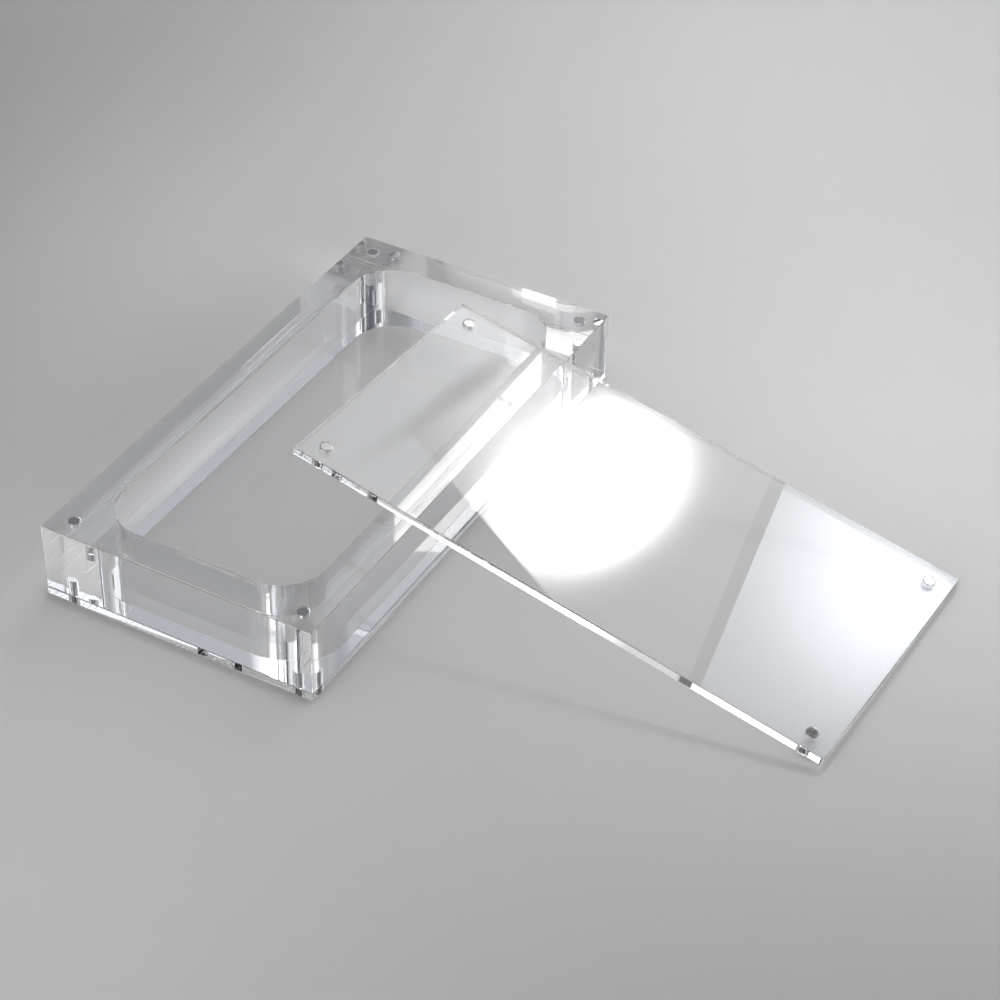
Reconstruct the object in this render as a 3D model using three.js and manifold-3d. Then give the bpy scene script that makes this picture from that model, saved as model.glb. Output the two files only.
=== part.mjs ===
// Clear acrylic storage box for a handheld console, with its lid taken off and leaning on the box.
// A milled frame stands on a base plate, and a lid plate of the same outline closes it. Small disc
// magnets glued into all three hold them together.
// Millimetres, +Z up. The origin is the middle of the base plate's underside, +X is the box's right,
// and its length runs along Y with the front at -Y.
import * as THREE from "three";
import { mergeVertices } from "three/addons/utils/BufferGeometryUtils.js";
import Module from "manifold-3d";

const wasm = await Module();
wasm.setup();

// Driving dimensions
const caseWidth = 100;
const caseLength = 195;
const frameHeight = 24.5;
const plateThickness = 3;
const wallThickness = 12;
const pocketRadius = 16;
const edgeChamfer = 0.3;
const magnetDiameter = 4;
const magnetChamfer = 0.2;
const frameMagnetHeight = 3;
const magnetInset = 7.5;

// Fits and clearances
const seatGap = 0.1; // air film between the frame and the plate under it
const magnetPlay = 0.1; // around each magnet in its hole
const glueFilm = 0.1; // under each magnet in a blind hole
const magnetRecess = 0.05; // each magnet's face lies this far below the acrylic's face

// How the lid leans: its high end reaches over the frame's right wall, and one low corner is on the table
const leanOverhang = 44; // from the middle of the high end to the frame's edge, along the lid
const leanYaw = THREE.MathUtils.degToRad(-3);
const leanShift = 9.4; // the lid's middle towards the box's back
const leanGap = 0.1; // between the lid's underside and the frame's edge

// Facets
const cornerFacets = 20;
const roundFacets = 32;

// Heights that follow
const frameBottom = plateThickness + seatGap;
const frameTop = frameBottom + frameHeight;
const plateMagnetHeight = plateThickness - 2 * magnetRecess;
const holeRadius = magnetDiameter / 2 + magnetPlay;
const blindDepth = frameMagnetHeight + glueFilm + magnetRecess;

// The four corners that hold a magnet
const magnetX = caseWidth / 2 - magnetInset;
const magnetY = caseLength / 2 - magnetInset;
const corners = [
  { name: "front_left", x: -magnetX, y: -magnetY },
  { name: "front_right", x: magnetX, y: -magnetY },
  { name: "back_right", x: magnetX, y: magnetY },
  { name: "back_left", x: -magnetX, y: magnetY },
];

const clearAcrylic = new THREE.MeshStandardMaterial({
  color: 0xf4f7fa,
  roughness: 0.03,
  metalness: 0,
  transparent: true,
  opacity: 0.25,
});
const nickelPlate = new THREE.MeshStandardMaterial({ color: 0xbdbbb6, roughness: 0.22, metalness: 1 });

// A rectangle about the origin, as an outline to extrude.
function rectangle(width, length) {
  const x = width / 2;
  const y = length / 2;
  return new THREE.Shape().moveTo(-x, -y).lineTo(x, -y).lineTo(x, y).lineTo(-x, y).closePath();
}

// The pocket's outline, a rectangle about the origin with quarter rounds at its corners.
function pocketOutline(width, length, radius) {
  const x = width / 2 - radius;
  const y = length / 2 - radius;
  const quarter = Math.PI / 2;
  return new THREE.Path()
    .absarc(x, y, radius, 0, quarter)
    .absarc(-x, y, radius, quarter, 2 * quarter)
    .absarc(-x, -y, radius, 2 * quarter, 3 * quarter)
    .absarc(x, -y, radius, 3 * quarter, 4 * quarter)
    .closePath();
}

// A slab from z = 0 to its height, with every edge of its two faces chamfered.
function chamferedSlab(outline, height) {
  const slab = new THREE.ExtrudeGeometry(outline, {
    depth: height - 2 * edgeChamfer,
    bevelThickness: edgeChamfer,
    bevelSize: edgeChamfer,
    bevelOffset: -edgeChamfer,
    bevelSegments: 1,
    curveSegments: cornerFacets,
  });
  return slab.translate(0, 0, edgeChamfer);
}

// A drilled hole's volume on the Z axis, between two heights.
function drill(low, high) {
  const hole = new THREE.CylinderGeometry(holeRadius, holeRadius, high - low, roundFacets);
  return hole.rotateX(Math.PI / 2).translate(0, 0, (low + high) / 2);
}

// A disc magnet standing on z = 0, turned from half its section, with chamfered rims.
function magnetDisc(height) {
  const radius = magnetDiameter / 2;
  const section = [
    new THREE.Vector2(0, 0),
    new THREE.Vector2(radius - magnetChamfer, 0),
    new THREE.Vector2(radius, magnetChamfer),
    new THREE.Vector2(radius, height - magnetChamfer),
    new THREE.Vector2(radius - magnetChamfer, height),
    new THREE.Vector2(0, height),
  ];
  return new THREE.LatheGeometry(section, roundFacets).rotateX(Math.PI / 2);
}

// Closed geometry as a solid that can be cut.
function asSolid(geometry) {
  const bare = geometry.clone().deleteAttribute("normal").deleteAttribute("uv");
  const merged = mergeVertices(bare);
  const vertProperties = merged.attributes.position.array;
  const triVerts = new Uint32Array(merged.index.array);
  return new wasm.Manifold(new wasm.Mesh({ numProp: 3, vertProperties, triVerts }));
}

// A solid back as geometry to draw.
function asGeometry(solid) {
  const { vertProperties, triVerts } = solid.getMesh();
  const geometry = new THREE.BufferGeometry();
  geometry.setAttribute("position", new THREE.BufferAttribute(vertProperties, 3));
  geometry.setIndex(new THREE.BufferAttribute(triVerts, 1));
  geometry.computeVertexNormals();
  return geometry;
}

// A body with a hole drilled at every magnet's corner, over each of the given height spans.
function drilled(geometry, spans) {
  let solid = asSolid(geometry);
  for (const [low, high] of spans) {
    for (const { x, y } of corners) {
      solid = solid.subtract(asSolid(drill(low, high).translate(x, y, 0)));
    }
  }
  return asGeometry(solid);
}

function addPiece(parent, name, geometry, material, x = 0, y = 0, z = 0) {
  const piece = new THREE.Mesh(geometry, material);
  piece.name = name;
  piece.position.set(x, y, z);
  parent.add(piece);
}

// One magnet at each corner, standing at a height.
function addMagnets(parent, prefix, height, z) {
  for (const { name, x, y } of corners) {
    addPiece(parent, `${prefix}_${name}`, magnetDisc(height), nickelPlate, x, y, z);
  }
}

// A plate with its four magnets in through holes, flush with both faces.
function addPlate(parent, name, magnetPrefix) {
  const slab = chamferedSlab(rectangle(caseWidth, caseLength), plateThickness);
  const through = [[-plateThickness, 2 * plateThickness]];
  addPiece(parent, name, drilled(slab, through), clearAcrylic);
  addMagnets(parent, magnetPrefix, plateMagnetHeight, magnetRecess);
}

// The milled frame, a thick ring round the pocket, with blind magnet holes in its top and underside.
function addFrame(parent) {
  const outline = rectangle(caseWidth, caseLength);
  const pocketWidth = caseWidth - 2 * wallThickness;
  const pocketLength = caseLength - 2 * wallThickness;
  outline.holes.push(pocketOutline(pocketWidth, pocketLength, pocketRadius));
  const blind = [
    [-blindDepth, blindDepth],
    [frameHeight - blindDepth, frameHeight + blindDepth],
  ];
  addPiece(parent, "frame", drilled(chamferedSlab(outline, frameHeight), blind), clearAcrylic);
  addMagnets(parent, "frame_base_magnet", frameMagnetHeight, magnetRecess);
  addMagnets(parent, "frame_top_magnet", frameMagnetHeight, frameHeight - magnetRecess - frameMagnetHeight);
}

// The lid on its lean. Its underside passes the frame's right top edge at leanGap and slopes down to
// the right, and the corner that the yaw turns furthest down the slope is the foot on the table.
function addLeaningLid(parent) {
  const footX = Math.sign(leanYaw) * (caseWidth / 2 - edgeChamfer);
  const footY = caseLength / 2 - edgeChamfer;
  const downSlope = (x, y) => x * Math.sin(leanYaw) + y * Math.cos(leanYaw);
  const acrossSlope = (x, y) => y * Math.sin(leanYaw) - x * Math.cos(leanYaw);

  const edgeX = caseWidth / 2 - edgeChamfer;
  const edgeToFoot = downSlope(footX, footY) - downSlope(0, -caseLength / 2) - leanOverhang;
  const tilt = Math.asin(frameTop / Math.hypot(edgeToFoot, leanGap)) + Math.atan2(leanGap, edgeToFoot);

  const slope = new THREE.Group();
  slope.position.x = edgeX + edgeToFoot * Math.cos(tilt) + leanGap * Math.sin(tilt);
  slope.position.y = leanShift + acrossSlope(footX, footY);
  slope.rotation.y = tilt;
  parent.add(slope);

  const turn = new THREE.Group();
  turn.rotation.z = leanYaw - Math.PI / 2;
  slope.add(turn);

  const lid = new THREE.Group();
  lid.position.set(-footX, -footY, 0);
  turn.add(lid);
  addPlate(lid, "lid_plate", "lid_magnet");
}

const box = new THREE.Group();

const base = new THREE.Group();
addPlate(base, "base_plate", "base_magnet");
box.add(base);

const frame = new THREE.Group();
frame.position.z = frameBottom;
addFrame(frame);
box.add(frame);

addLeaningLid(box);

export default box;
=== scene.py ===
# %% [markdown]
# # A clear storage box for a handheld console
# The real thing is three pieces of clear acrylic: a base plate, a thick frame milled out in the middle,
# and a lid plate of the same outline. Small disc magnets glued into the corners of all three hold the
# box shut. In the photograph the lid is off and leans on the frame's right wall.
# The CAD solids already have the right sizes and joints. This script gives them their looks: finer
# meshes with true normals, clear and metallic finishes, and a plain studio with soft light.

import bpy
import numpy as np
from mathutils import Matrix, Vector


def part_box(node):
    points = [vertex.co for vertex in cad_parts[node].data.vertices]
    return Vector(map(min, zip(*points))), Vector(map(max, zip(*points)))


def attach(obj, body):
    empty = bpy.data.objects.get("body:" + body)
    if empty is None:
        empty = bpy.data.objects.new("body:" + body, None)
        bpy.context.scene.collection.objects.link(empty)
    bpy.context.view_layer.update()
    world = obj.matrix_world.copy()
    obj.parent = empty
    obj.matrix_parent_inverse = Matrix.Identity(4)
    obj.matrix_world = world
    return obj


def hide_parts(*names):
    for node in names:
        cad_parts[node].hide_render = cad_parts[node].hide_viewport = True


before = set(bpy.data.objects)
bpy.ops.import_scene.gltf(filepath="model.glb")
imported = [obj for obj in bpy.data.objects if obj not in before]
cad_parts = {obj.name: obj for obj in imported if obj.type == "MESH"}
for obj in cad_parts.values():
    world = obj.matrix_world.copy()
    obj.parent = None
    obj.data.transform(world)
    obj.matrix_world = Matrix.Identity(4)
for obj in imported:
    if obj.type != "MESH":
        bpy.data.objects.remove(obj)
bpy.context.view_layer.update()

# %% [markdown]
# ## Sizes
# Everything that a CAD node's box can tell is read from it, so that the looks follow the solids. The few
# sizes that a box doesn't show, such as the pocket's wall and its corner radius, are written here once.
# Blender works in metres, and the object is thought of in millimetres, so MM turns one into the other.

# %% Sizes of the box
MM = 0.001
CORNER_NAMES = ("front_left", "front_right", "back_right", "back_left")
WALL = 12 * MM
POCKET_RADIUS = 16 * MM
EDGE_CHAMFER = 0.12 * MM
UPRIGHT_RADIUS = 0.25 * MM  # the vertical edges are broken a little too
RIM_CHAMFER = 0.1 * MM  # round each drilled hole
MAGNET_PLAY = 0.1 * MM
BLIND_SLACK = 0.15 * MM  # a blind hole is this much deeper than its magnet is tall
SHEET_SHORT = 0.088 * MM  # sheet that is sold as 3 mm comes out a little thinner

plate_low, plate_high = (np.array(c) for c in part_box("base_plate"))
frame_low, frame_high = (np.array(c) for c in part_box("frame"))
magnet_low, magnet_high = (np.array(c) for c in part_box("frame_top_magnet_front_right"))

HALF_WIDTH, HALF_LENGTH = plate_high[:2]
PLATE_THICKNESS = plate_high[2] - plate_low[2]
MAGNET_RADIUS = (magnet_high[0] - magnet_low[0]) / 2
MAGNET_INSET = HALF_WIDTH - (magnet_high[0] + magnet_low[0]) / 2
HOLE_RADIUS = MAGNET_RADIUS + MAGNET_PLAY
BLIND_DEPTH = magnet_high[2] - magnet_low[2] + BLIND_SLACK
print(f"outline {2 * HALF_WIDTH / MM:.1f} x {2 * HALF_LENGTH / MM:.1f} mm")
print(f"plates {PLATE_THICKNESS / MM:.2f} mm thick")
print(f"holes {2 * HOLE_RADIUS / MM:.2f} mm across, {MAGNET_INSET / MM:.2f} mm in from the sides")

# %% [markdown]
# ## Outlines, one corner at a time
# Every outline of this box is the same at its four corners, so an outline is written once for a corner,
# as points (p, q): p runs back along the side that arrives at the corner, q runs on along the side that
# leaves it. Four turned copies in a row then make the whole outline, anticlockwise seen from above.

# %% Corner frames
SQUARE = np.array([(-1, -1), (1, -1), (1, 1), (-1, 1)])
CORNERS = SQUARE * (HALF_WIDTH, HALF_LENGTH)
BACK_ALONG = np.array([(0, 1), (-1, 0), (0, -1), (1, 0)])
ON_ALONG = np.array([(1, 0), (0, 1), (-1, 0), (0, -1)])


def turned(local):
    """Corner directions (p, q) as four sets of directions in x, y: p * back + q * on."""
    p, q = local[:, 0], local[:, 1]
    return p[None, :, None] * BACK_ALONG[:, None, :] + q[None, :, None] * ON_ALONG[:, None, :]


def at_corners(local):
    """Corner points (p, q) as four outlines in x, y: corner + p * back + q * on."""
    return CORNERS[:, None, :] + turned(local)


print("corners in millimetres:", (CORNERS / MM).round(1).tolist())

# %% Outlines of a corner
TILE = 2 * MAGNET_INSET  # a square of face round each hole
SIDE_STEPS = 24
ROUND_STEPS = 4


def quarter_round(centre, radius, steps):
    """Points and outward directions of a quarter circle.

    centre + radius * (cos a, sin a), with a from 270 to 180 degrees.
    """
    angle = np.linspace(1.5 * np.pi, np.pi, steps + 1)
    direction = np.stack([np.cos(angle), np.sin(angle)], -1)
    return centre + radius * direction, direction


def run(start, end, steps):
    """Points from start to end in equal steps, both ends kept."""
    share = np.linspace(0, 1, steps + 1)[:, None]
    return np.array(start) * (1 - share) + np.array(end) * share


def outside_corner(inset):
    """The box's outer corner, moved in by inset: a straight run, a small round and a straight run."""
    bend, bend_out = quarter_round(UPRIGHT_RADIUS, UPRIGHT_RADIUS - inset, ROUND_STEPS)
    arriving = run((TILE, inset), bend[0], SIDE_STEPS)
    leaving = run(bend[-1], (inset, TILE), SIDE_STEPS)
    points = np.concatenate([arriving[:-1], bend, leaving[1:]])
    out_arriving = np.tile(bend_out[0], (SIDE_STEPS, 1))
    out_leaving = np.tile(bend_out[-1], (SIDE_STEPS, 1))
    return points, np.concatenate([out_arriving, bend_out, out_leaving])


def tile_inside(inset):
    """The two sides of the corner's tile that face the middle of the box."""
    first = run((TILE, inset), (TILE, TILE), SIDE_STEPS)
    second = run((TILE, TILE), (inset, TILE), SIDE_STEPS)
    return np.concatenate([first, second[1:]])


def pocket_corner(offset):
    """The pocket's corner, moved offset into the wall. Its directions point into the pocket."""
    points, away = quarter_round(WALL + POCKET_RADIUS, POCKET_RADIUS + offset, 2 * SIDE_STEPS)
    return points, -away


print("points in one outer corner:", len(outside_corner(0)[0]))
print("points in one pocket corner:", len(pocket_corner(0)[0]))

# %% [markdown]
# ## Patches that know their normals
# Clear acrylic shows every wrong normal, because light bends at each face twice. Blender would average the
# normals of neighbouring faces, and flat faces would look dented. So each surface here is a patch: a grid
# of points with the exact normal at each, worked out from the same formula.

# %% Patches
FACE, EDGE, POCKET, HOLE, PLATE_EDGE = range(5)  # a face's finish is its place in the list of finishes


def patch(points, normals, finish, closed=False):
    """A grid of points (rows, columns, 3) with normals, as quads that face along them.

    A closed grid joins its last column to its first.
    """
    rows, columns = points.shape[:2]
    index = np.arange(rows * columns).reshape(rows, columns)
    if closed:
        index = np.concatenate([index, index[:, :1]], 1)
    around_quad = [index[:-1, :-1], index[:-1, 1:], index[1:, 1:], index[1:, :-1]]
    quads = np.stack(around_quad, -1).reshape(-1, 4)
    flat_points = points.reshape(-1, 3)
    flat_normals = np.broadcast_to(normals, points.shape).reshape(-1, 3)
    corner = flat_points[quads]
    facing = np.cross(corner[:, 2] - corner[:, 0], corner[:, 3] - corner[:, 1])
    if (facing * flat_normals[quads[:, 0]]).sum() < 0:
        quads = quads[:, ::-1]
    return {"points": flat_points, "normals": flat_normals, "faces": quads, "finish": finish}


def disc(rim, normal, finish):
    """One flat face with the closed rim (columns, 3) as its outline."""
    middle = rim.mean(0)
    facing = np.cross(rim[0] - middle, rim[1] - middle) @ normal
    order = np.arange(len(rim)) if facing > 0 else np.arange(len(rim))[::-1]
    normals = np.broadcast_to(np.array(normal, float), rim.shape)
    return {"points": rim, "normals": normals, "faces": order[None, :], "finish": finish}


print("finishes of acrylic:", PLATE_EDGE + 1)

# %% [markdown]
# ## From patches to a piece
# Patches are welded into one closed mesh: points that share a place become one point, as Blender's Merge by
# Distance would make them, but in whole arrays. The exact normals are then handed to Blender as they are.
# Each point also keeps the place that it had before its piece leaned, so that a pattern follows the piece.

# %% Welding patches into a piece
WELD_GRID = 1e-7
OWN_PLACE = "own_place"  # where a point was before its piece leaned


def weld(patches):
    """All patches as one set of points, faces, corner normals and finishes.

    Points whose places round to the same step of WELD_GRID become one.
    """
    starts = np.cumsum([0] + [len(p["points"]) for p in patches])
    points = np.concatenate([p["points"] for p in patches])
    key = np.round(points / WELD_GRID).astype(np.int64)
    _, first, place = np.unique(key, axis=0, return_index=True, return_inverse=True)
    place = place.reshape(-1)
    faces = [row for p, s in zip(patches, starts) for row in place[p["faces"] + s].tolist()]
    normals = np.concatenate([p["normals"][p["faces"].reshape(-1)] for p in patches])
    finishes = np.concatenate([np.full(len(p["faces"]), p["finish"]) for p in patches])
    return points[first], faces, normals, finishes


def make_piece(name, patches, materials, place=None):
    """A mesh object of welded patches.

    place is a 4 x 4 matrix that goes into the points, so the object stays at the origin.
    """
    points, faces, normals, finishes = weld(patches)
    own_place = points
    if place is not None:
        points = points @ place[:3, :3].T + place[:3, 3]
        normals = normals @ place[:3, :3].T
    mesh = bpy.data.meshes.new(name)
    mesh.from_pydata(points, [], faces)
    for material in materials:
        mesh.materials.append(material)
    mesh.polygons.foreach_set("material_index", finishes.astype(np.int32))
    mesh.polygons.foreach_set("use_smooth", np.ones(len(faces), bool))
    mesh.normals_split_custom_set(normals)
    before_leaning = mesh.attributes.new(OWN_PLACE, "FLOAT_VECTOR", "POINT")
    before_leaning.data.foreach_set("vector", own_place.reshape(-1))
    mesh.update()
    piece = bpy.data.objects.new(name, mesh)
    bpy.context.scene.collection.objects.link(piece)
    print(f"{name}: {len(points)} points, {len(faces)} faces")
    return piece


print(f"points closer than about {WELD_GRID / MM:.4f} mm are welded")

# %% [markdown]
# ## Flat faces
# A face of the box is tiled: a square with a round hole at each corner, and either plain tiles between them
# or, on the frame, a ring that runs in to the pocket. A boolean cut would give the same holes, but with long
# thin triangles round them. Here all tiles share their border points, so the welds close.

# %% Tiled faces with holes
UP = np.array([0.0, 0.0, 1.0])


def at_height(outline, height):
    """An outline in x, y at one height."""
    return np.concatenate([outline, np.full(outline.shape[:-1] + (1,), height)], -1)


def loop(corners):
    """Four corner outlines as one closed outline."""
    return corners.reshape(-1, corners.shape[-1])


def hole_rims(inset, radius):
    """Each corner tile's outline, and the same points drawn straight in to a circle round the hole's axis.

    A point of the circle is axis + radius * (point - axis) / its distance from the axis.
    """
    outer, _ = outside_corner(inset)
    border = np.concatenate([outer, tile_inside(inset)[-2:0:-1]])
    from_axis = border - MAGNET_INSET
    circle = MAGNET_INSET + radius * from_axis / np.linalg.norm(from_axis, axis=1, keepdims=True)
    return at_corners(border), at_corners(circle)


def face_tiles(height, side, pocket):
    """One flat face at a height, facing up (side 1) or down (side -1).

    It has four holes, and on the frame the pocket's opening too.
    """
    normal = side * UP
    made = []
    border, rim = hole_rims(EDGE_CHAMFER, HOLE_RADIUS + RIM_CHAMFER)
    for corner in range(4):
        rings = np.stack([at_height(border[corner], height), at_height(rim[corner], height)])
        made.append(patch(rings, normal, FACE, closed=True))
    inside = at_corners(tile_inside(EDGE_CHAMFER))
    if pocket:
        opening = at_corners(pocket_corner(EDGE_CHAMFER)[0])
        ring = np.stack([at_height(loop(inside), height), at_height(loop(opening), height)])
        return made + [patch(ring, normal, FACE, closed=True)]
    for corner in range(4):
        leaving = inside[corner][SIDE_STEPS:]
        arriving = inside[(corner + 1) % 4][: SIDE_STEPS + 1][::-1]
        made.append(patch(at_height(np.stack([leaving, arriving]), height), normal, FACE))
    middle = inside[[0, 1, 3, 2], SIDE_STEPS].reshape(2, 2, 2)
    return made + [patch(at_height(middle, height), normal, FACE)]


print("patches in a plate's face:", len(face_tiles(0, 1, False)))
print("patches in the frame's face:", len(face_tiles(0, 1, True)))

# %% [markdown]
# ## Walls
# The walls are strips between two outlines, and so are the fine chamfers that break every edge. A Bevel
# modifier could make those, but it would also make new normals, and here each strip has its own exact one.

# %% Walls
CHAMFER_TILT = np.sqrt(0.5)  # makes a sum of two square directions one unit long


def strip(lower, upper, normals, finish):
    """A closed band between two outlines (columns, 3) with the same number of points."""
    return patch(np.stack([lower, upper]), np.stack([normals, normals]), finish, closed=True)


def broken_wall(corner_outline, low, high, finish):
    """An upright wall from low to high, whose two edges are chamfered back from it by EDGE_CHAMFER."""
    points, out = corner_outline(0)
    cut, _ = corner_outline(EDGE_CHAMFER)
    wall, cut = loop(at_corners(points)), loop(at_corners(cut))
    level = at_height(loop(turned(out)), 0)
    foot, head = low + EDGE_CHAMFER, high - EDGE_CHAMFER
    return [
        strip(at_height(wall, foot), at_height(wall, head), level, finish),
        strip(at_height(cut, low), at_height(wall, foot), CHAMFER_TILT * (level - UP), EDGE),
        strip(at_height(wall, head), at_height(cut, high), CHAMFER_TILT * (level + UP), EDGE),
    ]


print(f"edges are chamfered by {EDGE_CHAMFER / MM:.2f} mm")

# %% [markdown]
# ## Drilled holes
# The magnets sit in drilled holes, right through the plates and blind in both faces of the frame. A boolean
# cut would make them, but it leaves its own normals round each rim. So a hole is a strip round its axis too,
# with a chamfer at its mouth, and with a flat floor where it is blind.


# %% Drilled holes
def drilled_holes(mouth, end, side, blind):
    """Four drilled holes from the face at mouth, which looks along side, to end. A blind one gets a floor."""
    made = []
    _, rim = hole_rims(EDGE_CHAMFER, HOLE_RADIUS + RIM_CHAMFER)
    _, bore = hole_rims(EDGE_CHAMFER, HOLE_RADIUS)
    axis = at_corners(np.full((1, 2), MAGNET_INSET))
    inward = at_height((axis - bore) / HOLE_RADIUS, 0)
    throat = mouth - side * RIM_CHAMFER
    far = end if blind else end + side * RIM_CHAMFER
    for wide, tight, facing in zip(rim, bore, inward):
        flared = CHAMFER_TILT * (facing + side * UP)
        made.append(strip(at_height(wide, mouth), at_height(tight, throat), flared, EDGE))
        made.append(strip(at_height(tight, throat), at_height(tight, far), facing, HOLE))
        if blind:
            made.append(disc(at_height(tight, end), side * UP, HOLE))
        else:
            flared_back = CHAMFER_TILT * (facing - side * UP)
            made.append(strip(at_height(tight, far), at_height(wide, end), flared_back, EDGE))
    return made


print(f"holes are chamfered by {RIM_CHAMFER / MM:.2f} mm, blind ones are {BLIND_DEPTH / MM:.2f} mm deep")

# %% [markdown]
# ## A plate and the frame as lists of patches
# A plate is two faces, a wall all round and four holes right through. The frame is the same with a second
# wall for its pocket, and with blind holes from both sides. They could be cut from blocks, but here nothing
# is cut from anything, so each mesh is closed and clean.


# %% A plate and the frame
def plate_patches(low, high):
    """A plate with four holes right through it."""
    made = face_tiles(low, -1, False) + face_tiles(high, 1, False)
    made += broken_wall(outside_corner, low, high, PLATE_EDGE)
    return made + drilled_holes(high, low, 1, False)


def frame_patches(low, high):
    """The frame: a block with the pocket right through it and blind holes from both faces."""
    made = face_tiles(low, -1, True) + face_tiles(high, 1, True)
    made += broken_wall(outside_corner, low, high, EDGE)
    made += broken_wall(pocket_corner, low, high, POCKET)
    made += drilled_holes(high, high - BLIND_DEPTH, 1, True)
    return made + drilled_holes(low, low + BLIND_DEPTH, -1, True)


print("patches in a plate:", len(plate_patches(0, PLATE_THICKNESS)))
print("patches in the frame:", len(frame_patches(frame_low[2], frame_high[2])))

# %% [markdown]
# ## Nodes that the finishes share
# A finish is a small net of shader nodes. The few that come back in each are made by these helpers: an empty
# material, noise that is stretched into lines, a range for its values, dents, and a step of arithmetic. Node
# groups could hold them too, but functions leave every value on its shader's own socket. The noise reads
# each piece's own coordinates, so it stays on the piece from any side and at any pose.

# %% Node helpers
NOISE_LOW, NOISE_HIGH = 0.3, 0.7  # nearly all of a noise texture lies between these


def new_material(name):
    """An empty node material, its tree and its output node."""
    material = bpy.data.materials.new(name)
    material.use_nodes = True
    tree = material.node_tree
    tree.nodes.clear()
    return material, tree, tree.nodes.new("ShaderNodeOutputMaterial")


def noise_lines(tree, per_metre, detail):
    """Noise in the piece's own coordinates with that many waves to the metre along x, y and z."""
    make, join = tree.nodes.new, tree.links.new
    place = make("ShaderNodeAttribute")
    place.attribute_name = OWN_PLACE
    stretch = make("ShaderNodeMapping")
    stretch.inputs["Scale"].default_value = per_metre
    noise = make("ShaderNodeTexNoise")
    noise.inputs["Scale"].default_value = 1
    noise.inputs["Detail"].default_value = detail
    join(place.outputs["Vector"], stretch.inputs["Vector"])
    join(stretch.outputs["Vector"], noise.inputs["Vector"])
    return noise.outputs["Fac"]


def spread(tree, value, low, high):
    """A noise value carried to the range from low to high."""
    carry = tree.nodes.new("ShaderNodeMapRange")
    carry.inputs["From Min"].default_value = NOISE_LOW
    carry.inputs["From Max"].default_value = NOISE_HIGH
    carry.inputs["To Min"].default_value = low
    carry.inputs["To Max"].default_value = high
    tree.links.new(value, carry.inputs["Value"])
    return carry.outputs["Result"]


def dented(tree, value, height):
    """A normal dented by a noise value, with dents of that height."""
    bump = tree.nodes.new("ShaderNodeBump")
    bump.inputs["Strength"].default_value = 1
    bump.inputs["Distance"].default_value = height
    tree.links.new(value, bump.inputs["Height"])
    return bump.outputs["Normal"]


def maths(tree, operation, value, other):
    """One step of arithmetic on two values, each a number or another node's output."""
    step = tree.nodes.new("ShaderNodeMath")
    step.operation = operation
    for socket, given in zip(step.inputs, (value, other)):
        if isinstance(given, (int, float)):
            socket.default_value = given
        else:
            tree.links.new(given, socket)
    return step.outputs["Value"]


print("noise is read from", NOISE_LOW, "to", NOISE_HIGH)

# %% [markdown]
# ## Clear acrylic
# Acrylic bends light by 1.49, a little less than glass. It is a Principled shader with nearly full
# transmission. A Glass shader would bend light the same way, but the Principled one can also be a little
# milky, as a milled wall is. A stretched noise in the piece's own coordinates gives it the lines that its
# tools left, as bump and as roughness.
# Light that only passes through on its way to the floor is spared the bending, which would take thousands
# of samples to find its lamp: shadow rays and diffuse rays meet a Transparent shader. It keeps back a share
# of the light, most of all at the edges, whose dark outlines on the floor come from that.

# %% Clear acrylic
ACRYLIC_IOR = 1.49
CLEAR_COLOUR = (1, 1, 1, 1)
HAZE_COLOUR = (0.97, 0.975, 1.0, 1)
LINE_DETAIL = 2


def straight_light(tree, lets_in, lets_out):
    """A Transparent shader that lets one share of light into the acrylic and another share out of it."""
    make, join = tree.nodes.new, tree.links.new
    straight = make("ShaderNodeBsdfTransparent")
    straight.inputs["Color"].default_value = (lets_in, lets_in, lets_in, 1)
    if lets_out != lets_in:
        side = make("ShaderNodeNewGeometry")
        share = make("ShaderNodeMapRange")
        share.inputs["To Min"].default_value = lets_in
        share.inputs["To Max"].default_value = lets_out
        join(side.outputs["Backfacing"], share.inputs["Value"])
        join(share.outputs["Result"], straight.inputs["Color"])
    return straight.outputs["BSDF"]


def acrylic(name, per_metre, roughness, bump_height, lets_in, lets_out, haze=0):
    """Clear acrylic with noise lines of that many waves to the metre along x, y and z.

    The lines move the roughness through its range and stand bump_height tall. lets_in and lets_out are the
    shares of straight light that pass inwards and outwards, and haze is the share that is milky, not clear.
    """
    material, tree, output = new_material(name)
    make, join = tree.nodes.new, tree.links.new
    lines = noise_lines(tree, per_metre, LINE_DETAIL)
    clear = make("ShaderNodeBsdfPrincipled")
    clear.inputs["Base Color"].default_value = HAZE_COLOUR if haze else CLEAR_COLOUR
    clear.inputs["IOR"].default_value = ACRYLIC_IOR
    clear.inputs["Transmission Weight"].default_value = 1 - haze
    join(spread(tree, lines, *roughness), clear.inputs["Roughness"])
    join(dented(tree, lines, bump_height), clear.inputs["Normal"])
    straight = straight_light(tree, lets_in, lets_out)
    path = make("ShaderNodeLightPath")
    below = clear.outputs["BSDF"]
    for asked in ("Is Diffuse Ray", "Is Shadow Ray"):
        choose = make("ShaderNodeMixShader")
        join(path.outputs[asked], choose.inputs["Fac"])
        join(below, choose.inputs[1])
        join(straight, choose.inputs[2])
        below = choose.outputs["Shader"]
    join(below, output.inputs["Surface"])
    return material


print("acrylic bends light by", ACRYLIC_IOR)

# %% [markdown]
# ## Five finishes of acrylic
# Each tool leaves its own surface. The sheet's faces are cast mirror flat, the frame's edges are polished
# along their length, the cutter leaves upright lines in the pocket, and the drill leaves its holes a little
# rough. The thin edges of the plates are polished too, but let little light through. A painted map for each
# would do, but one function with other values makes them all, at any size. A face of a piece picks its
# finish by its number in the list.

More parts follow.
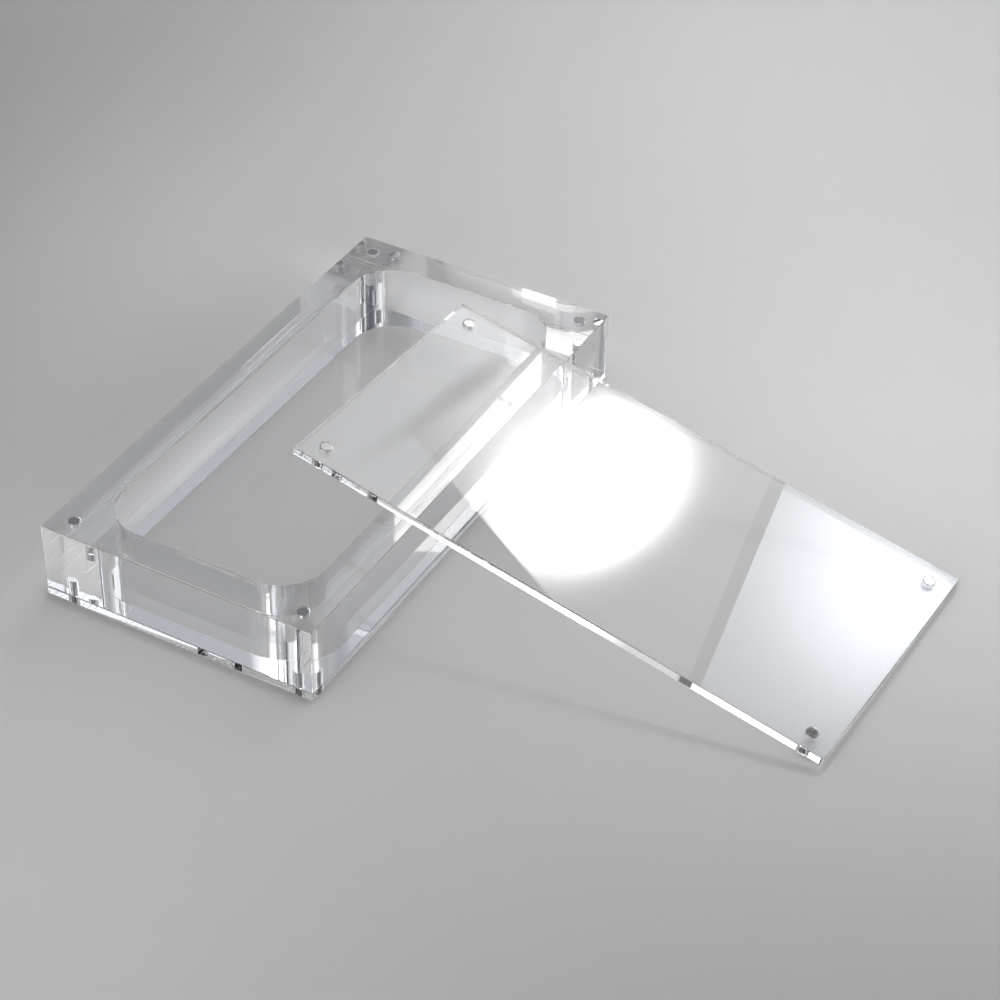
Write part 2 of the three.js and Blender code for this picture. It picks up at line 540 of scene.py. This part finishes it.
# %% Acrylic finishes
CAST = {"per_metre": (6, 6, 6), "roughness": (0.0, 0.0035), "bump_height": 0.002 * MM}
POLISHED = {"per_metre": (12, 12, 900), "roughness": (0.0, 0.0035), "bump_height": 0.0002 * MM}
MILLED = {"per_metre": (180, 180, 6), "roughness": (0.0, 0.01), "bump_height": 0.002 * MM, "haze": 0.04}
DRILLED = {"per_metre": (300, 300, 1500), "roughness": (0.05, 0.15), "bump_height": 0.01 * MM, "haze": 0.02}

acrylic_finishes = [
    acrylic("acrylic_face", **CAST, lets_in=0.985, lets_out=0.985),
    acrylic("acrylic_polished_edge", **POLISHED, lets_in=0.95, lets_out=0.5),
    acrylic("acrylic_milled_pocket", **MILLED, lets_in=0.97, lets_out=0.97),
    acrylic("acrylic_drilled_hole", **DRILLED, lets_in=0.8, lets_out=0.8),
    acrylic("acrylic_plate_edge", **POLISHED, lets_in=0.3, lets_out=0.3),
]
print("acrylic finishes:", [m.name for m in acrylic_finishes])

# %% [markdown]
# ## Nickel plate
# The magnets are pressed powder under a thin coat of nickel. The coat is bright, but it follows the grain
# below, so it mirrors softly: a fine noise moves its roughness and dents it a little. An image of real
# nickel would show the same, but a noise has no seams and needs no file.

# %% Nickel plate
NICKEL_COLOUR = (0.37, 0.365, 0.36, 1)
NICKEL_GRAIN = (900, 900, 900)
NICKEL_ROUGHNESS = (0.03, 0.08)
NICKEL_DENTS = 0.004 * MM
FINE_DETAIL = 3

nickel, tree, output = new_material("nickel_plate")
grain = noise_lines(tree, NICKEL_GRAIN, FINE_DETAIL)
metal = tree.nodes.new("ShaderNodeBsdfPrincipled")
metal.inputs["Base Color"].default_value = NICKEL_COLOUR
metal.inputs["Metallic"].default_value = 1
tree.links.new(spread(tree, grain, *NICKEL_ROUGHNESS), metal.inputs["Roughness"])
tree.links.new(dented(tree, grain, NICKEL_DENTS), metal.inputs["Normal"])
tree.links.new(metal.outputs["BSDF"], output.inputs["Surface"])
print("metal finish:", nickel.name)

# %% [markdown]
# ## The base plate and the frame
# The base plate is thin sheet, cut to the box's outline and drilled through at its corners. The frame is
# thick sheet with the pocket milled right through it and blind holes in both faces. Both stand square to
# the axes, so their CAD boxes say where they are, and the patches are made at those heights at once.

# %% Base plate and frame
sheet_low, sheet_high = plate_low[2] + SHEET_SHORT / 2, plate_high[2] - SHEET_SHORT / 2
base_sheet = make_piece("base_sheet", plate_patches(sheet_low, sheet_high), acrylic_finishes)
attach(base_sheet, "base")
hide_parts("base_plate")

milled_frame = make_piece("milled_frame", frame_patches(frame_low[2], frame_high[2]), acrylic_finishes)
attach(milled_frame, "frame")
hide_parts("frame")

# %% [markdown]
# ## The lid
# The lid is the same sheet as the base plate, but it leans on the frame's edge, so no box gives its place.
# Its four magnets do: their middle is the lid's middle, and the lines between them run across it and along
# it. The plate is made flat at the origin, and a matrix with those directions carries its points to their
# place. Turning the object would look the same, but the object of a piece stays unturned at the origin.


# %% The leaning lid
def node_points(name):
    """The points of a CAD node's mesh, in metres."""
    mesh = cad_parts[name].data
    points = np.empty(3 * len(mesh.vertices))
    mesh.vertices.foreach_get("co", points)
    return points.reshape(-1, 3)


def lid_place():
    """The matrix that takes a plate lying at the origin to where the lid leans."""
    magnets = {c: node_points(f"lid_magnet_{c}").mean(0) for c in CORNER_NAMES}
    middle = np.mean(list(magnets.values()), 0)
    across = magnets["front_right"] - magnets["front_left"]
    across /= np.linalg.norm(across)
    along = magnets["back_left"] - magnets["front_left"]
    along -= across * (along @ across)
    along /= np.linalg.norm(along)
    place = np.eye(4)
    place[:3, :3] = np.stack([across, along, np.cross(across, along)], 1)
    place[:3, 3] = middle
    return place


LID_PLACE = lid_place()
lean = np.degrees(np.arccos(LID_PLACE[2, 2]))
print(f"the lid leans by {lean:.2f} degrees")
half_thickness = (PLATE_THICKNESS - SHEET_SHORT) / 2
lid_patches = plate_patches(-half_thickness, half_thickness)
lid_sheet = make_piece("lid_sheet", lid_patches, acrylic_finishes, LID_PLACE)
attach(lid_sheet, "lid")
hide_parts("lid_plate")

# %% [markdown]
# ## The magnets
# Each magnet is a nickel-plated disc with a rounded rim. A lathe makes it: half of its section, a flat, a
# quarter round, a straight side and another quarter round, is carried round the axis. A cylinder with a
# Bevel modifier would look alike, but this way the rim's normals are exact, and they catch the light.

# %% Disc magnets
MAGNET_ROUND = 0.22 * MM
MAGNET_STEPS = 64
RIM_STEPS = 5


def magnet_patches(height):
    """A disc of that height on the Z axis, its middle at the origin.

    The section (r, z) is turned through every angle a, to the points (r * cos a, r * sin a, z).
    """
    turn = np.linspace(0, 2 * np.pi, MAGNET_STEPS, endpoint=False)
    spin = np.stack([np.cos(turn), np.sin(turn), np.zeros(MAGNET_STEPS)], -1)
    climb = np.linspace(0, np.pi / 2, RIM_STEPS + 1)
    out = np.concatenate([np.sin(climb), np.cos(climb)])
    rise = np.concatenate([-np.cos(climb), np.sin(climb)])
    shift = np.repeat([-1.0, 1.0], RIM_STEPS + 1) * (height / 2 - MAGNET_ROUND)
    reach = MAGNET_RADIUS - MAGNET_ROUND + MAGNET_ROUND * out
    level = shift + MAGNET_ROUND * rise
    points = reach[:, None, None] * spin + level[:, None, None] * UP
    normals = out[:, None, None] * spin + rise[:, None, None] * UP
    return [patch(points, normals, 0, closed=True), disc(points[0], -UP, 0), disc(points[-1], UP, 0)]


def add_magnet(node, body, height, turn):
    """A magnet in the place of a CAD node, turned as the piece that holds it."""
    place = np.eye(4)
    place[:3, :3] = turn
    place[:3, 3] = node_points(node).mean(0)
    piece = make_piece(f"{node}_disc", magnet_patches(height), [nickel], place)
    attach(piece, body)
    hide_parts(node)


print(f"a magnet is {2 * MAGNET_RADIUS / MM:.1f} mm across, its rim rounded by {MAGNET_ROUND / MM:.2f} mm")

# %% [markdown]
# ## Magnets in their holes
# There are sixteen: four in each plate, and four in each face of the frame. Those of the lid lean as it does,
# and two of them were glued in a little askew. That shows, because they mirror another part of the room.
# Copies of one mesh would do for the upright ones, but each is made in its place, as every piece is.

# %% Magnets in their holes
LID_MAGNET_SLOPES = {"front_left": (0.0088, 0.026), "back_right": (0.0206, -0.0494)}


def leaned(slope_x, slope_y):
    """A turn that takes the Z axis to the direction (slope_x, slope_y, 1)."""
    axis = np.array([slope_x, slope_y, 1.0])
    axis /= np.linalg.norm(axis)
    aside = np.cross((0, 1, 0), axis)
    aside /= np.linalg.norm(aside)
    return np.stack([aside, np.cross(axis, aside), axis], 1)


upright = np.eye(3)
base_magnet_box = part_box("base_magnet_front_left")
frame_magnet_height = magnet_high[2] - magnet_low[2]
plate_magnet_height = base_magnet_box[1].z - base_magnet_box[0].z
for corner in CORNER_NAMES:
    add_magnet(f"base_magnet_{corner}", "base", plate_magnet_height, upright)
    add_magnet(f"frame_base_magnet_{corner}", "frame", frame_magnet_height, upright)
    add_magnet(f"frame_top_magnet_{corner}", "frame", frame_magnet_height, upright)
    lid_turn = LID_PLACE[:3, :3] @ leaned(*LID_MAGNET_SLOPES.get(corner, (0, 0)))
    add_magnet(f"lid_magnet_{corner}", "lid", plate_magnet_height, lid_turn)

# %% [markdown]
# ## The camera
# The camera stands where the photograph's did, front right and above. Its turn is built from the way it
# looks: forward from the bearing and the height angle, then right and up square to it, rolled a little. A
# Track To constraint could aim it, but it wouldn't give the roll.

# %% Camera
CAMERA_PLACE = np.array([356.05, -555.16, 518.83]) * MM
CAMERA_BEARING = np.radians(28.02)
CAMERA_DIP = np.radians(38.652)
CAMERA_ROLL = np.radians(1.624)
LENS = 88.8
SENSOR_WIDTH = 36
NEAREST, FARTHEST = 0.05, 100

ahead = np.array([-np.sin(CAMERA_BEARING), np.cos(CAMERA_BEARING), 0])
forward = np.cos(CAMERA_DIP) * ahead - np.sin(CAMERA_DIP) * UP
level_right = np.cross(forward, UP)
level_right /= np.linalg.norm(level_right)
level_up = np.cross(level_right, forward)
camera_right = np.cos(CAMERA_ROLL) * level_right + np.sin(CAMERA_ROLL) * level_up
camera_up = np.cos(CAMERA_ROLL) * level_up - np.sin(CAMERA_ROLL) * level_right
camera_turn = np.eye(4)
camera_turn[:3, :3] = np.stack([camera_right, camera_up, -forward], 1)
camera_turn[:3, 3] = CAMERA_PLACE

camera_data = bpy.data.cameras.new("camera")
camera_data.lens = LENS
camera_data.sensor_width = SENSOR_WIDTH
camera_data.clip_start = NEAREST
camera_data.clip_end = FARTHEST
camera = bpy.data.objects.new("camera", camera_data)
camera.matrix_world = Matrix(camera_turn)
bpy.context.scene.collection.objects.link(camera)
bpy.context.scene.camera = camera
print(f"camera {np.linalg.norm(CAMERA_PLACE):.3f} m from the middle of the box's foot")

# %% [markdown]
# ## Light that fades as a bell
# Both the floor and the lamps are brightest in one place and fade round it. A bell does that: 1 in the
# middle, exp(-1) one reach away, and nearly nothing at three. A Gradient Texture has a spherical form too,
# but it ends at a hard rim, and a bell has none.


# %% Bell
def bell(tree, place, middle, reach):
    """exp(-r ** 2), where r is the distance from a place to the middle, counted in reaches.

    The reach is one number, or one for each axis.
    """
    steps = (("SUBTRACT", middle), ("DIVIDE", np.broadcast_to(reach, 3)))
    for operation, other in steps:
        step = tree.nodes.new("ShaderNodeVectorMath")
        step.operation = operation
        step.inputs[1].default_value = other
        tree.links.new(place, step.inputs[0])
        place = step.outputs["Vector"]
    distance = tree.nodes.new("ShaderNodeVectorMath")
    distance.operation = "LENGTH"
    tree.links.new(place, distance.inputs[0])
    squared = maths(tree, "POWER", distance.outputs["Value"], 2)
    return maths(tree, "POWER", float(np.exp(-1)), squared)


def with_bells(tree, place, level, bells):
    """A level plus strength * bell for each bell, given as its middle, reach and strength."""
    for middle, reach, strength in bells:
        near = bell(tree, place, middle, reach)
        level = maths(tree, "ADD", maths(tree, "MULTIPLY", near, strength), level)
    return level


print("a bell at 0, 1, 2 and 3 reaches:", np.exp(-np.arange(4.0) ** 2).round(4).tolist())

# %% [markdown]
# ## The floor
# The box lies on a sheet of grey paper, and the lamps' soft pools on it are painted light and painted shade:
# brighter at the right and in front, darker between. The pools could come from spot lamps, but those would
# also light the box, so here they are painted in the paper's colour: bells, added to a plain level. Each pool
# is a middle and a reach in metres, and a strength. Far from the box the bells are spent and the plain grey
# is left.
# The last six are painted caustics and painted shadows: the bright and dark lines that light draws along the
# foot of the box, where it comes out of the acrylic.

# %% Floor
PAPER = (0.496, 0.490, 0.472)
PAPER_LEVEL = 1.1
# painted light (positive strength) and painted shade (negative strength), each a middle, a reach and a
# strength
PAINTED_LIGHT_POOLS = (
    ((-0.036, -0.223, 0), 0.248, 1.0),
    ((0.171, 0.083, 0), 0.17, 0.75),
    ((0.008, 0.285, 0), 0.216, 0.62),
    ((-0.054, -0.127, 0), 0.5, -0.885),
    ((-0.129, 0.083, 0), 0.133, 0.309),
    ((-0.025, 0.109, 0), (0.05, 0.013, 1), 0.4),
    ((-0.005, 0.121, 0), (0.03, 0.009, 1), 0.3),
    ((0.012, 0.086, 0), (0.03, 0.012, 1), 0.5),
    ((-0.057, -0.01, 0), (0.007, 0.06, 1), 0.5),
    ((-0.046, 0.03, 0), (0.006, 0.08, 1), -0.22),
    ((-0.08, 0.04, 0), (0.03, 0.08, 1), -0.1),
)
CLOUD_WAVES = (5, 5, 5)
CLOUD_DETAIL = 4
CLOUD_RANGE = (0.985, 1.015)
FIBRE_WAVES = (1500, 1500, 1500)
PAPER_ROUGHNESS = (0.5, 0.65)
PAPER_TOOTH = 0.02 * MM
FLOOR_REACH = 8.0
FLOOR_GAP = 0.02 * MM

floor_material, tree, output = new_material("grey_paper_painted_pools")
make, join = tree.nodes.new, tree.links.new
where = make("ShaderNodeTexCoord")
cloudy = spread(tree, noise_lines(tree, CLOUD_WAVES, CLOUD_DETAIL), *CLOUD_RANGE)
# the painted light pools and painted shadows are multiplied into the paper's colour
painted_pools_level = with_bells(tree, where.outputs["Object"], PAPER_LEVEL, PAINTED_LIGHT_POOLS)
shade = make("ShaderNodeVectorMath")
shade.operation = "SCALE"
shade.inputs[0].default_value = PAPER
join(maths(tree, "MULTIPLY", painted_pools_level, cloudy), shade.inputs["Scale"])
fibres = noise_lines(tree, FIBRE_WAVES, FINE_DETAIL)
paper = make("ShaderNodeBsdfPrincipled")
join(shade.outputs["Vector"], paper.inputs["Base Color"])
join(spread(tree, fibres, *PAPER_ROUGHNESS), paper.inputs["Roughness"])
join(dented(tree, fibres, PAPER_TOOTH), paper.inputs["Normal"])
join(paper.outputs["BSDF"], output.inputs["Surface"])

floor_outline = np.array([[(-1, -1), (1, -1)], [(-1, 1), (1, 1)]]) * FLOOR_REACH
floor = make_piece("floor", [patch(at_height(floor_outline, -FLOOR_GAP), UP, 0)], [floor_material])

# %% [markdown]
# ## The room
# Clear acrylic has no colour of its own. What it shows is the room, bent and mirrored, so the room matters
# as much as the box. An image of a studio could stand all round, but a drawn one can be set wall by wall.
# Each wall level below is a turn round the room, a brightness, and how much bluer than grey it is. Round
# the circle a turn starts at the left, and passes the front at 0.25, the right at 0.5 and the back at 0.75.

# %% Levels of the walls
UPPER_WALL = (
    (0.0, 0.39, 1.05),
    (0.055, 0.5, 1.05),
    (0.11, 0.7, 1.04),
    (0.165, 1.15, 1.03),
    (0.22, 1.2, 1.03),
    (0.26, 1.1, 1.03),
    (0.306, 0.92, 1.04),
    (0.333, 0.43, 1.08),
    (0.365, 0.14, 1.3),
    (0.4, 0.03, 1.6),
    (0.495, 0.07, 1.4),
    (0.515, 0.45, 1.08),
    (0.535, 0.8, 1.06),
    (0.555, 0.88, 1.06),
    (0.6, 0.8, 1.1),
    (0.645, 1.15, 1.1),
    (0.69, 1.2, 1.06),
    (0.73, 1.0, 1.05),
    (0.785, 1.9, 1.04),
    (0.795, 1.55, 1.04),
    (0.807, 1.0, 1.05),
    (0.815, 0.92, 1.05),
    (0.827, 0.62, 1.08),
    (0.836, 0.45, 1.12),
    (0.87, 0.4, 1.15),
    (0.91, 0.38, 1.1),
    (0.945, 0.44, 1.05),
    (1.0, 0.39, 1.05),
)
LOWER_WALL = (
    (0.0, 0.42, 1.04),
    (0.08, 0.46, 1.04),
    (0.13, 0.6, 1.04),
    (0.17, 1.05, 1.03),
    (0.25, 1.08, 1.03),
    (0.306, 0.9, 1.04),
    (0.34, 0.35, 1.1),
    (0.37, 0.1, 1.3),
    (0.4, 0.05, 1.5),
    (0.47, 0.08, 1.4),
    (0.515, 0.55, 1.06),
    (0.55, 0.83, 1.06),
    (0.63, 0.83, 1.1),
    (0.68, 1.3, 1.06),
    (0.735, 2.0, 1.05),
    (0.78, 1.75, 1.05),
    (0.812, 1.3, 1.05),
    (0.827, 0.72, 1.05),
    (0.835, 0.48, 1.05),
    (0.86, 0.15, 1.05),
    (0.91, 0.06, 1.0),
    (0.95, 0.3, 1.0),
    (1.0, 0.42, 1.04),
)
CEILING = (0.58, 0.585, 0.61)
WALL_ANGLES = (27, 42)  # the lower walls pass into the upper ones between these height angles
CEILING_ANGLES = (52, 66)
print("levels round the room:", len(LOWER_WALL), "below and", len(UPPER_WALL), "above")

# %% [markdown]
# ## The room as a world shader
# A world shader is asked for a colour in each direction. A radial gradient turns the direction into a place
# round the room, a colour ramp gives that place its level, and the direction's height blends the lower
# walls into the upper ones and those into the ceiling.

# %% World
world = bpy.data.worlds.new("studio")
world.use_nodes = True
bpy.context.scene.world = world
tree = world.node_tree
tree.nodes.clear()
make, join = tree.nodes.new, tree.links.new
where = make("ShaderNodeTexCoord")
bearing = make("ShaderNodeTexGradient")
bearing.gradient_type = "RADIAL"
height = make("ShaderNodeSeparateXYZ")
join(where.outputs["Generated"], bearing.inputs["Vector"])
join(where.outputs["Generated"], height.inputs["Vector"])


def wall_ramp(levels):
    """A colour ramp round the room, with a stop for each level.

    A stop's red is the brightness, its blue that times the blueness, and its green a third of the way.
    """
    ramp = make("ShaderNodeValToRGB")
    stops = ramp.color_ramp.elements
    while len(stops) < len(levels):
        stops.new(0.5)  # anywhere, because its position is set below
    for stop, (turn, level, blue) in zip(stops, levels):
        stop.position = turn
        stop.color = (level, level * (2 + blue) / 3, level * blue, 1)
    join(bearing.outputs["Fac"], ramp.inputs["Fac"])
    return ramp.outputs["Color"]


def blend_by_height(below, above, low_angle, high_angle):
    """One colour below a height angle and another above it, with a smooth passage between the two angles."""
    share = make("ShaderNodeMapRange")
    share.interpolation_type = "SMOOTHSTEP"
    share.inputs["From Min"].default_value = np.sin(np.radians(low_angle))
    share.inputs["From Max"].default_value = np.sin(np.radians(high_angle))
    join(height.outputs["Z"], share.inputs["Value"])
    mix = make("ShaderNodeMix")
    mix.data_type = "RGBA"
    join(share.outputs["Result"], mix.inputs["Factor"])
    join(below, mix.inputs["A"])
    if isinstance(above, tuple):
        mix.inputs["B"].default_value = above
    else:
        join(above, mix.inputs["B"])
    return mix.outputs["Result"]


walls = blend_by_height(wall_ramp(LOWER_WALL), wall_ramp(UPPER_WALL), *WALL_ANGLES)
room = blend_by_height(walls, (*CEILING, 1), *CEILING_ANGLES)
glow = make("ShaderNodeBackground")
output = make("ShaderNodeOutputWorld")
join(room, glow.inputs["Color"])
join(glow.outputs["Background"], output.inputs["Surface"])
print("world:", world.name, "with", len(tree.nodes), "nodes")

# %% [markdown]
# ## Where the lamps stand
# The lid mirrors two softboxes and the dark gap between them, and their shapes on the lid are plain to see.
# So the lamps are placed by where the lid shows them: the camera is mirrored in the lid's upper face, and a
# lamp stands on the line from there through a point of the picture. Points of the picture are in pixels.

# %% Where the lid shows a lamp
PICTURE_WIDTH = 1000
FOCAL_PIXELS = LENS / SENSOR_WIDTH * PICTURE_WIDTH
LAMP_DEPTH = 2.4
PIXEL = LAMP_DEPTH / FOCAL_PIXELS  # the size of a pixel of the picture at that depth
LID_UP = LID_PLACE[:3, 2]
LID_TOP = LID_PLACE[:3, 3] + LID_UP * half_thickness


def mirrored(direction):
    """A direction seen in the lid's mirror: the direction less twice its part along LID_UP."""
    return direction - 2 * (direction @ LID_UP) * LID_UP


mirror_eye = CAMERA_PLACE - 2 * ((CAMERA_PLACE - LID_TOP) @ LID_UP) * LID_UP
mirror_right, mirror_up, mirror_ahead = (mirrored(a) for a in (camera_right, camera_up, forward))


def lamp_place(pixel, depth):
    """The matrix of a lamp that the lid shows at that pixel.

    It stands at eye + depth * (ahead + aside * right - below * up), all mirrored in the lid.
    Its X runs to the picture's right and its Y up the picture.
    """
    aside, below = (np.array(pixel) - PICTURE_WIDTH / 2) / FOCAL_PIXELS
    place = np.eye(4)
    place[:3, :3] = np.stack([mirror_right, mirror_up, np.cross(mirror_right, mirror_up)], 1)
    place[:3, 3] = mirror_eye + depth * (mirror_ahead + aside * mirror_right - below * mirror_up)
    return place


def outline_from(centre, pixels):
    """Points of the picture as a flat outline round a lamp's centre: (point - centre) * PIXEL, Y upwards."""
    across = (np.array(pixels, float) - centre) * (PIXEL, -PIXEL)
    return at_height(across, 0)


print(f"a pixel is {PIXEL / MM:.3f} mm wide at the lamps")

# %% [markdown]
# ## Glowing cloth
# A softbox is a sheet of white cloth in front of a bulb. An Area light gives the same light, but it glows
# evenly, and what the lid mirrors is brighter in front of the bulb. So a softbox here is a flat mesh with an
# Emission shader and bells in its strength. The camera doesn't see it, and the acrylic does.

# %% Glowing cloth
WHITE = (1, 1, 1)


def glow_material(name, level, *bells, colour=WHITE):
    """Cloth that glows at one level, and brighter round the middle of each bell."""
    material, tree, output = new_material(name)
    light = tree.nodes.new("ShaderNodeEmission")
    light.inputs["Color"].default_value = (*colour, 1)
    light.inputs["Strength"].default_value = level
    if bells:
        where = tree.nodes.new("ShaderNodeTexCoord")
        strength = with_bells(tree, where.outputs["Object"], level, bells)
        tree.links.new(strength, light.inputs["Strength"])
    tree.links.new(light.outputs["Emission"], output.inputs["Surface"])
    return material


def add_lamp(name, patches, materials, place):
    """A lamp of the studio, hidden from the camera but not from the acrylic."""
    lamp = make_piece(name, patches, materials)
    lamp.matrix_world = Matrix(place)
    lamp.visible_camera = False


print("cloth glows in red, green and blue by", WHITE)

# %% [markdown]
# ## The left softbox
# On the lid it is the large pale field round the highlight, with a straight edge at its left and the
# softbox's dark side beyond that edge. A plane could be turned and stretched until its mirror image fits, but
# an outline that is read off the lid, corner by corner, fits at once. Cloth and dark side are two flat faces
# of one lamp.

# %% Left softbox
LEFT_OUTLINE = ((668, 733), (770, 479), (931, 83), (905, 76), (408, 428))
DARK_SIDE_OUTLINE = ((450, 478), (668, 733), (630, 765), (412, 510))
LEFT_LEVEL = 0.72
DARK_SIDE_LEVEL = 0.1
HALO_AT = (527, 430)
HALO_STRENGTH = 3.2
HALO_REACH = 78
MIDDLE = (0, 0, 0)

left_halo = (MIDDLE, HALO_REACH * PIXEL, HALO_STRENGTH)
left_cloth = glow_material("left_softbox_cloth", LEFT_LEVEL, left_halo)
dark_side = glow_material("left_softbox_side", DARK_SIDE_LEVEL)
left_patches = [
    disc(outline_from(HALO_AT, LEFT_OUTLINE), UP, 0),
    disc(outline_from(HALO_AT, DARK_SIDE_OUTLINE), UP, 1),
]
add_lamp("left_softbox", left_patches, [left_cloth, dark_side], lamp_place(HALO_AT, LAMP_DEPTH))

# %% [markdown]
# ## The key lamp
# The highlight on the lid is the glow of the bulb through the cloth: a leaning ellipse, far brighter than
# white, cut straight by the softbox's edge. A bell with a reach for each axis would do if it stood upright.
# Because it leans, it is a lamp of its own just in front of the cloth, and its units are the ellipse's axes:
# a round bell in those units is the ellipse.

# %% Key lamp
BULB_AT = (588, 488)
BULB_SPREAD = (58, 42)
BULB_LEAN = np.radians(30)
BULB_STRENGTH = 150.0
BULB_FRONT = 0.01
LEFT_SIDE = ((480, 513), (668, 733))
BELL_SPENT = 2.8  # nothing is left of a bell at this many reaches
RING_POINTS = 96


def spread_axes(spread, lean):
    """A leaning ellipse's long and short axes as the columns of a matrix: a turn, scaled by the spread."""
    turn = np.array([[np.cos(lean), -np.sin(lean), 0], [np.sin(lean), np.cos(lean), 0], UP])
    return turn * (spread[0] * PIXEL, spread[1] * PIXEL, 1)


def spread_place(pixel, depth, axes):
    """A lamp's place, with the axes of an ellipse as its units."""
    place = lamp_place(pixel, depth)
    place[:3, :3] = place[:3, :3] @ axes
    return place


def cut_by(points, start, end):
    """Points to the right of the line from start to end, moved onto it."""
    along = (end - start) / np.linalg.norm(end - start)
    aside = np.cross(along, UP)
    return points - np.maximum(0, (points - start) @ aside)[:, None] * aside


around = np.linspace(0, 2 * np.pi, RING_POINTS, endpoint=False)
ring = BELL_SPENT * np.stack([np.cos(around), np.sin(around), 0 * around], -1)
bulb_axes = spread_axes(BULB_SPREAD, BULB_LEAN)
to_bulb_units = np.linalg.inv(bulb_axes)
bulb_edge = cut_by(ring @ bulb_axes.T, *outline_from(BULB_AT, LEFT_SIDE)) @ to_bulb_units.T
halo_from_bulb = to_bulb_units @ outline_from(BULB_AT, (HALO_AT,))[0]
bulb_halo = (halo_from_bulb, float(HALO_REACH / np.mean(BULB_SPREAD)), HALO_STRENGTH)
bulb_glow = (MIDDLE, 1.0, BULB_STRENGTH)
bulb_cloth = glow_material("bulb_cloth", LEFT_LEVEL, bulb_halo, bulb_glow)
bulb_place = spread_place(BULB_AT, LAMP_DEPTH - BULB_FRONT, bulb_axes)
add_lamp("key_lamp", [disc(bulb_edge, UP, 0)], [bulb_cloth], bulb_place)

# %% [markdown]
# ## The softbox's rim
# Where the left softbox's upper rim is mirrored, the lid shows a soft dark line. A dark strip would be
# sharp, so the rim is gauze: a mix of a Transparent and a dim Emission shader, thickest along its middle.

# %% Rim of the left softbox
LEFT_RIM_AT = (469, 384)
LEFT_RIM_SPREAD = (95, 10)
LEFT_RIM_LEAN = np.radians(35.5)
LEFT_RIM_THICKNESS = 0.75
LEFT_RIM_LEVEL = 0.1
LEFT_RIM_FRONT = 0.02

rim_gauze, tree, output = new_material("left_rim_gauze")
make, join = tree.nodes.new, tree.links.new
where = make("ShaderNodeTexCoord")
thickness = maths(tree, "MULTIPLY", bell(tree, where.outputs["Object"], MIDDLE, 1), LEFT_RIM_THICKNESS)
dim = make("ShaderNodeEmission")
dim.inputs["Strength"].default_value = LEFT_RIM_LEVEL
gauze = make("ShaderNodeMixShader")
join(thickness, gauze.inputs["Fac"])
join(make("ShaderNodeBsdfTransparent").outputs["BSDF"], gauze.inputs[1])
join(dim.outputs["Emission"], gauze.inputs[2])
join(gauze.outputs["Shader"], output.inputs["Surface"])
rim_axes = spread_axes(LEFT_RIM_SPREAD, LEFT_RIM_LEAN)
rim_place = spread_place(LEFT_RIM_AT, LAMP_DEPTH - LEFT_RIM_FRONT, rim_axes)
add_lamp("left_rim", [disc(ring, UP, 0)], [rim_gauze], rim_place)

# %% [markdown]
# ## The right softbox
# It is the bright field on the lid's low end, a little bluer than the left one, and its dark rim is the band
# across the lid. Cloth and rim are again two flat faces of one lamp.

# %% Right softbox
RIGHT_BULB_AT = (910, 580)
RIGHT_OUTLINE = ((784, 486), (1010, -54), (1420, 120), (1000, 1120), (570, 1000))
RIM_OUTLINE = ((784, 486), (1010, -54), (996, -60), (770, 480), (556, 994), (570, 1000))
DAYLIGHT = (0.93, 0.98, 1.07)
RIGHT_LEVEL = 1.15
RIGHT_REACH = 129
RIGHT_STRENGTH = 6.2
RIM_LEVEL = 0.15

right_glow = (MIDDLE, RIGHT_REACH * PIXEL, RIGHT_STRENGTH)
right_cloth = glow_material("right_softbox_cloth", RIGHT_LEVEL, right_glow, colour=DAYLIGHT)
rim_cloth = glow_material("rim_cloth", RIM_LEVEL)
right_patches = [
    disc(outline_from(RIGHT_BULB_AT, RIGHT_OUTLINE), UP, 0),
    disc(outline_from(RIGHT_BULB_AT, RIM_OUTLINE), UP, 1),
]
add_lamp("right_softbox", right_patches, [right_cloth, rim_cloth], lamp_place(RIGHT_BULB_AT, LAMP_DEPTH))

# %% [markdown]
# ## Small softboxes
# The frame's walls pass light on by mirroring it inside, and show bright blocks that no large lamp gives.
# Three small softboxes make them: one front left of the box, and two behind it at the right. They are placed
# by bearing, counted from the back towards the right, and by height angle, because no mirror shows them.

# %% Small softboxes
BOX_MIDDLE = np.array([0, 0, frame_high[2] / 2])


def small_softbox(name, distance, bearing, rise, half_width, half_height, level):
    """A glowing sheet at a bearing b and a height angle r, its half sizes given as angles, all in degrees.

    It stands at middle + distance * (sin b * cos r, cos b * cos r, sin r) and faces the box.
    """
    turn, climb = np.radians((bearing, rise))
    aside = np.array([np.cos(turn), -np.sin(turn), 0])
    out = np.array([np.sin(turn) * np.cos(climb), np.cos(turn) * np.cos(climb), np.sin(climb)])
    place = np.eye(4)
    place[:3, :3] = np.stack([aside, np.cross(aside, out), -out], 1)
    place[:3, 3] = BOX_MIDDLE + distance * out
    half = distance * np.tan(np.radians((half_width, half_height)))
    corners = at_height(SQUARE * half, 0)
    cloth = glow_material(f"{name}_cloth", level)
    add_lamp(name, [disc(corners, UP, 0)], [cloth], place)


small_softbox("front_softbox", 1.6, bearing=-155.5, rise=35.5, half_width=4, half_height=2.5, level=5.0)
small_softbox("side_softbox", 5.0, bearing=28, rise=37, half_width=3, half_height=2.8, level=5.0)
small_softbox("end_softbox", 5.0, bearing=22, rise=45, half_width=3, half_height=2.5, level=4.0)

# %% [markdown]
# ## Colour and light paths
# The Standard view shows a colour as it is written. Light runs along inside a wall of clear acrylic and turns
# at its faces dozens of times, so many bounces are allowed: with too few, the walls would end in black.
# Caustics are off, because finding them by chance leaves bright specks.

# %% Colour and light paths
LIGHT_BOUNCES = 48
bpy.context.scene.view_settings.view_transform = "Standard"
cycles = bpy.context.scene.cycles
cycles.max_bounces = LIGHT_BOUNCES
cycles.transmission_bounces = LIGHT_BOUNCES
cycles.glossy_bounces = LIGHT_BOUNCES
cycles.caustics_reflective = False
cycles.caustics_refractive = False
print("light may turn", cycles.max_bounces, "times")
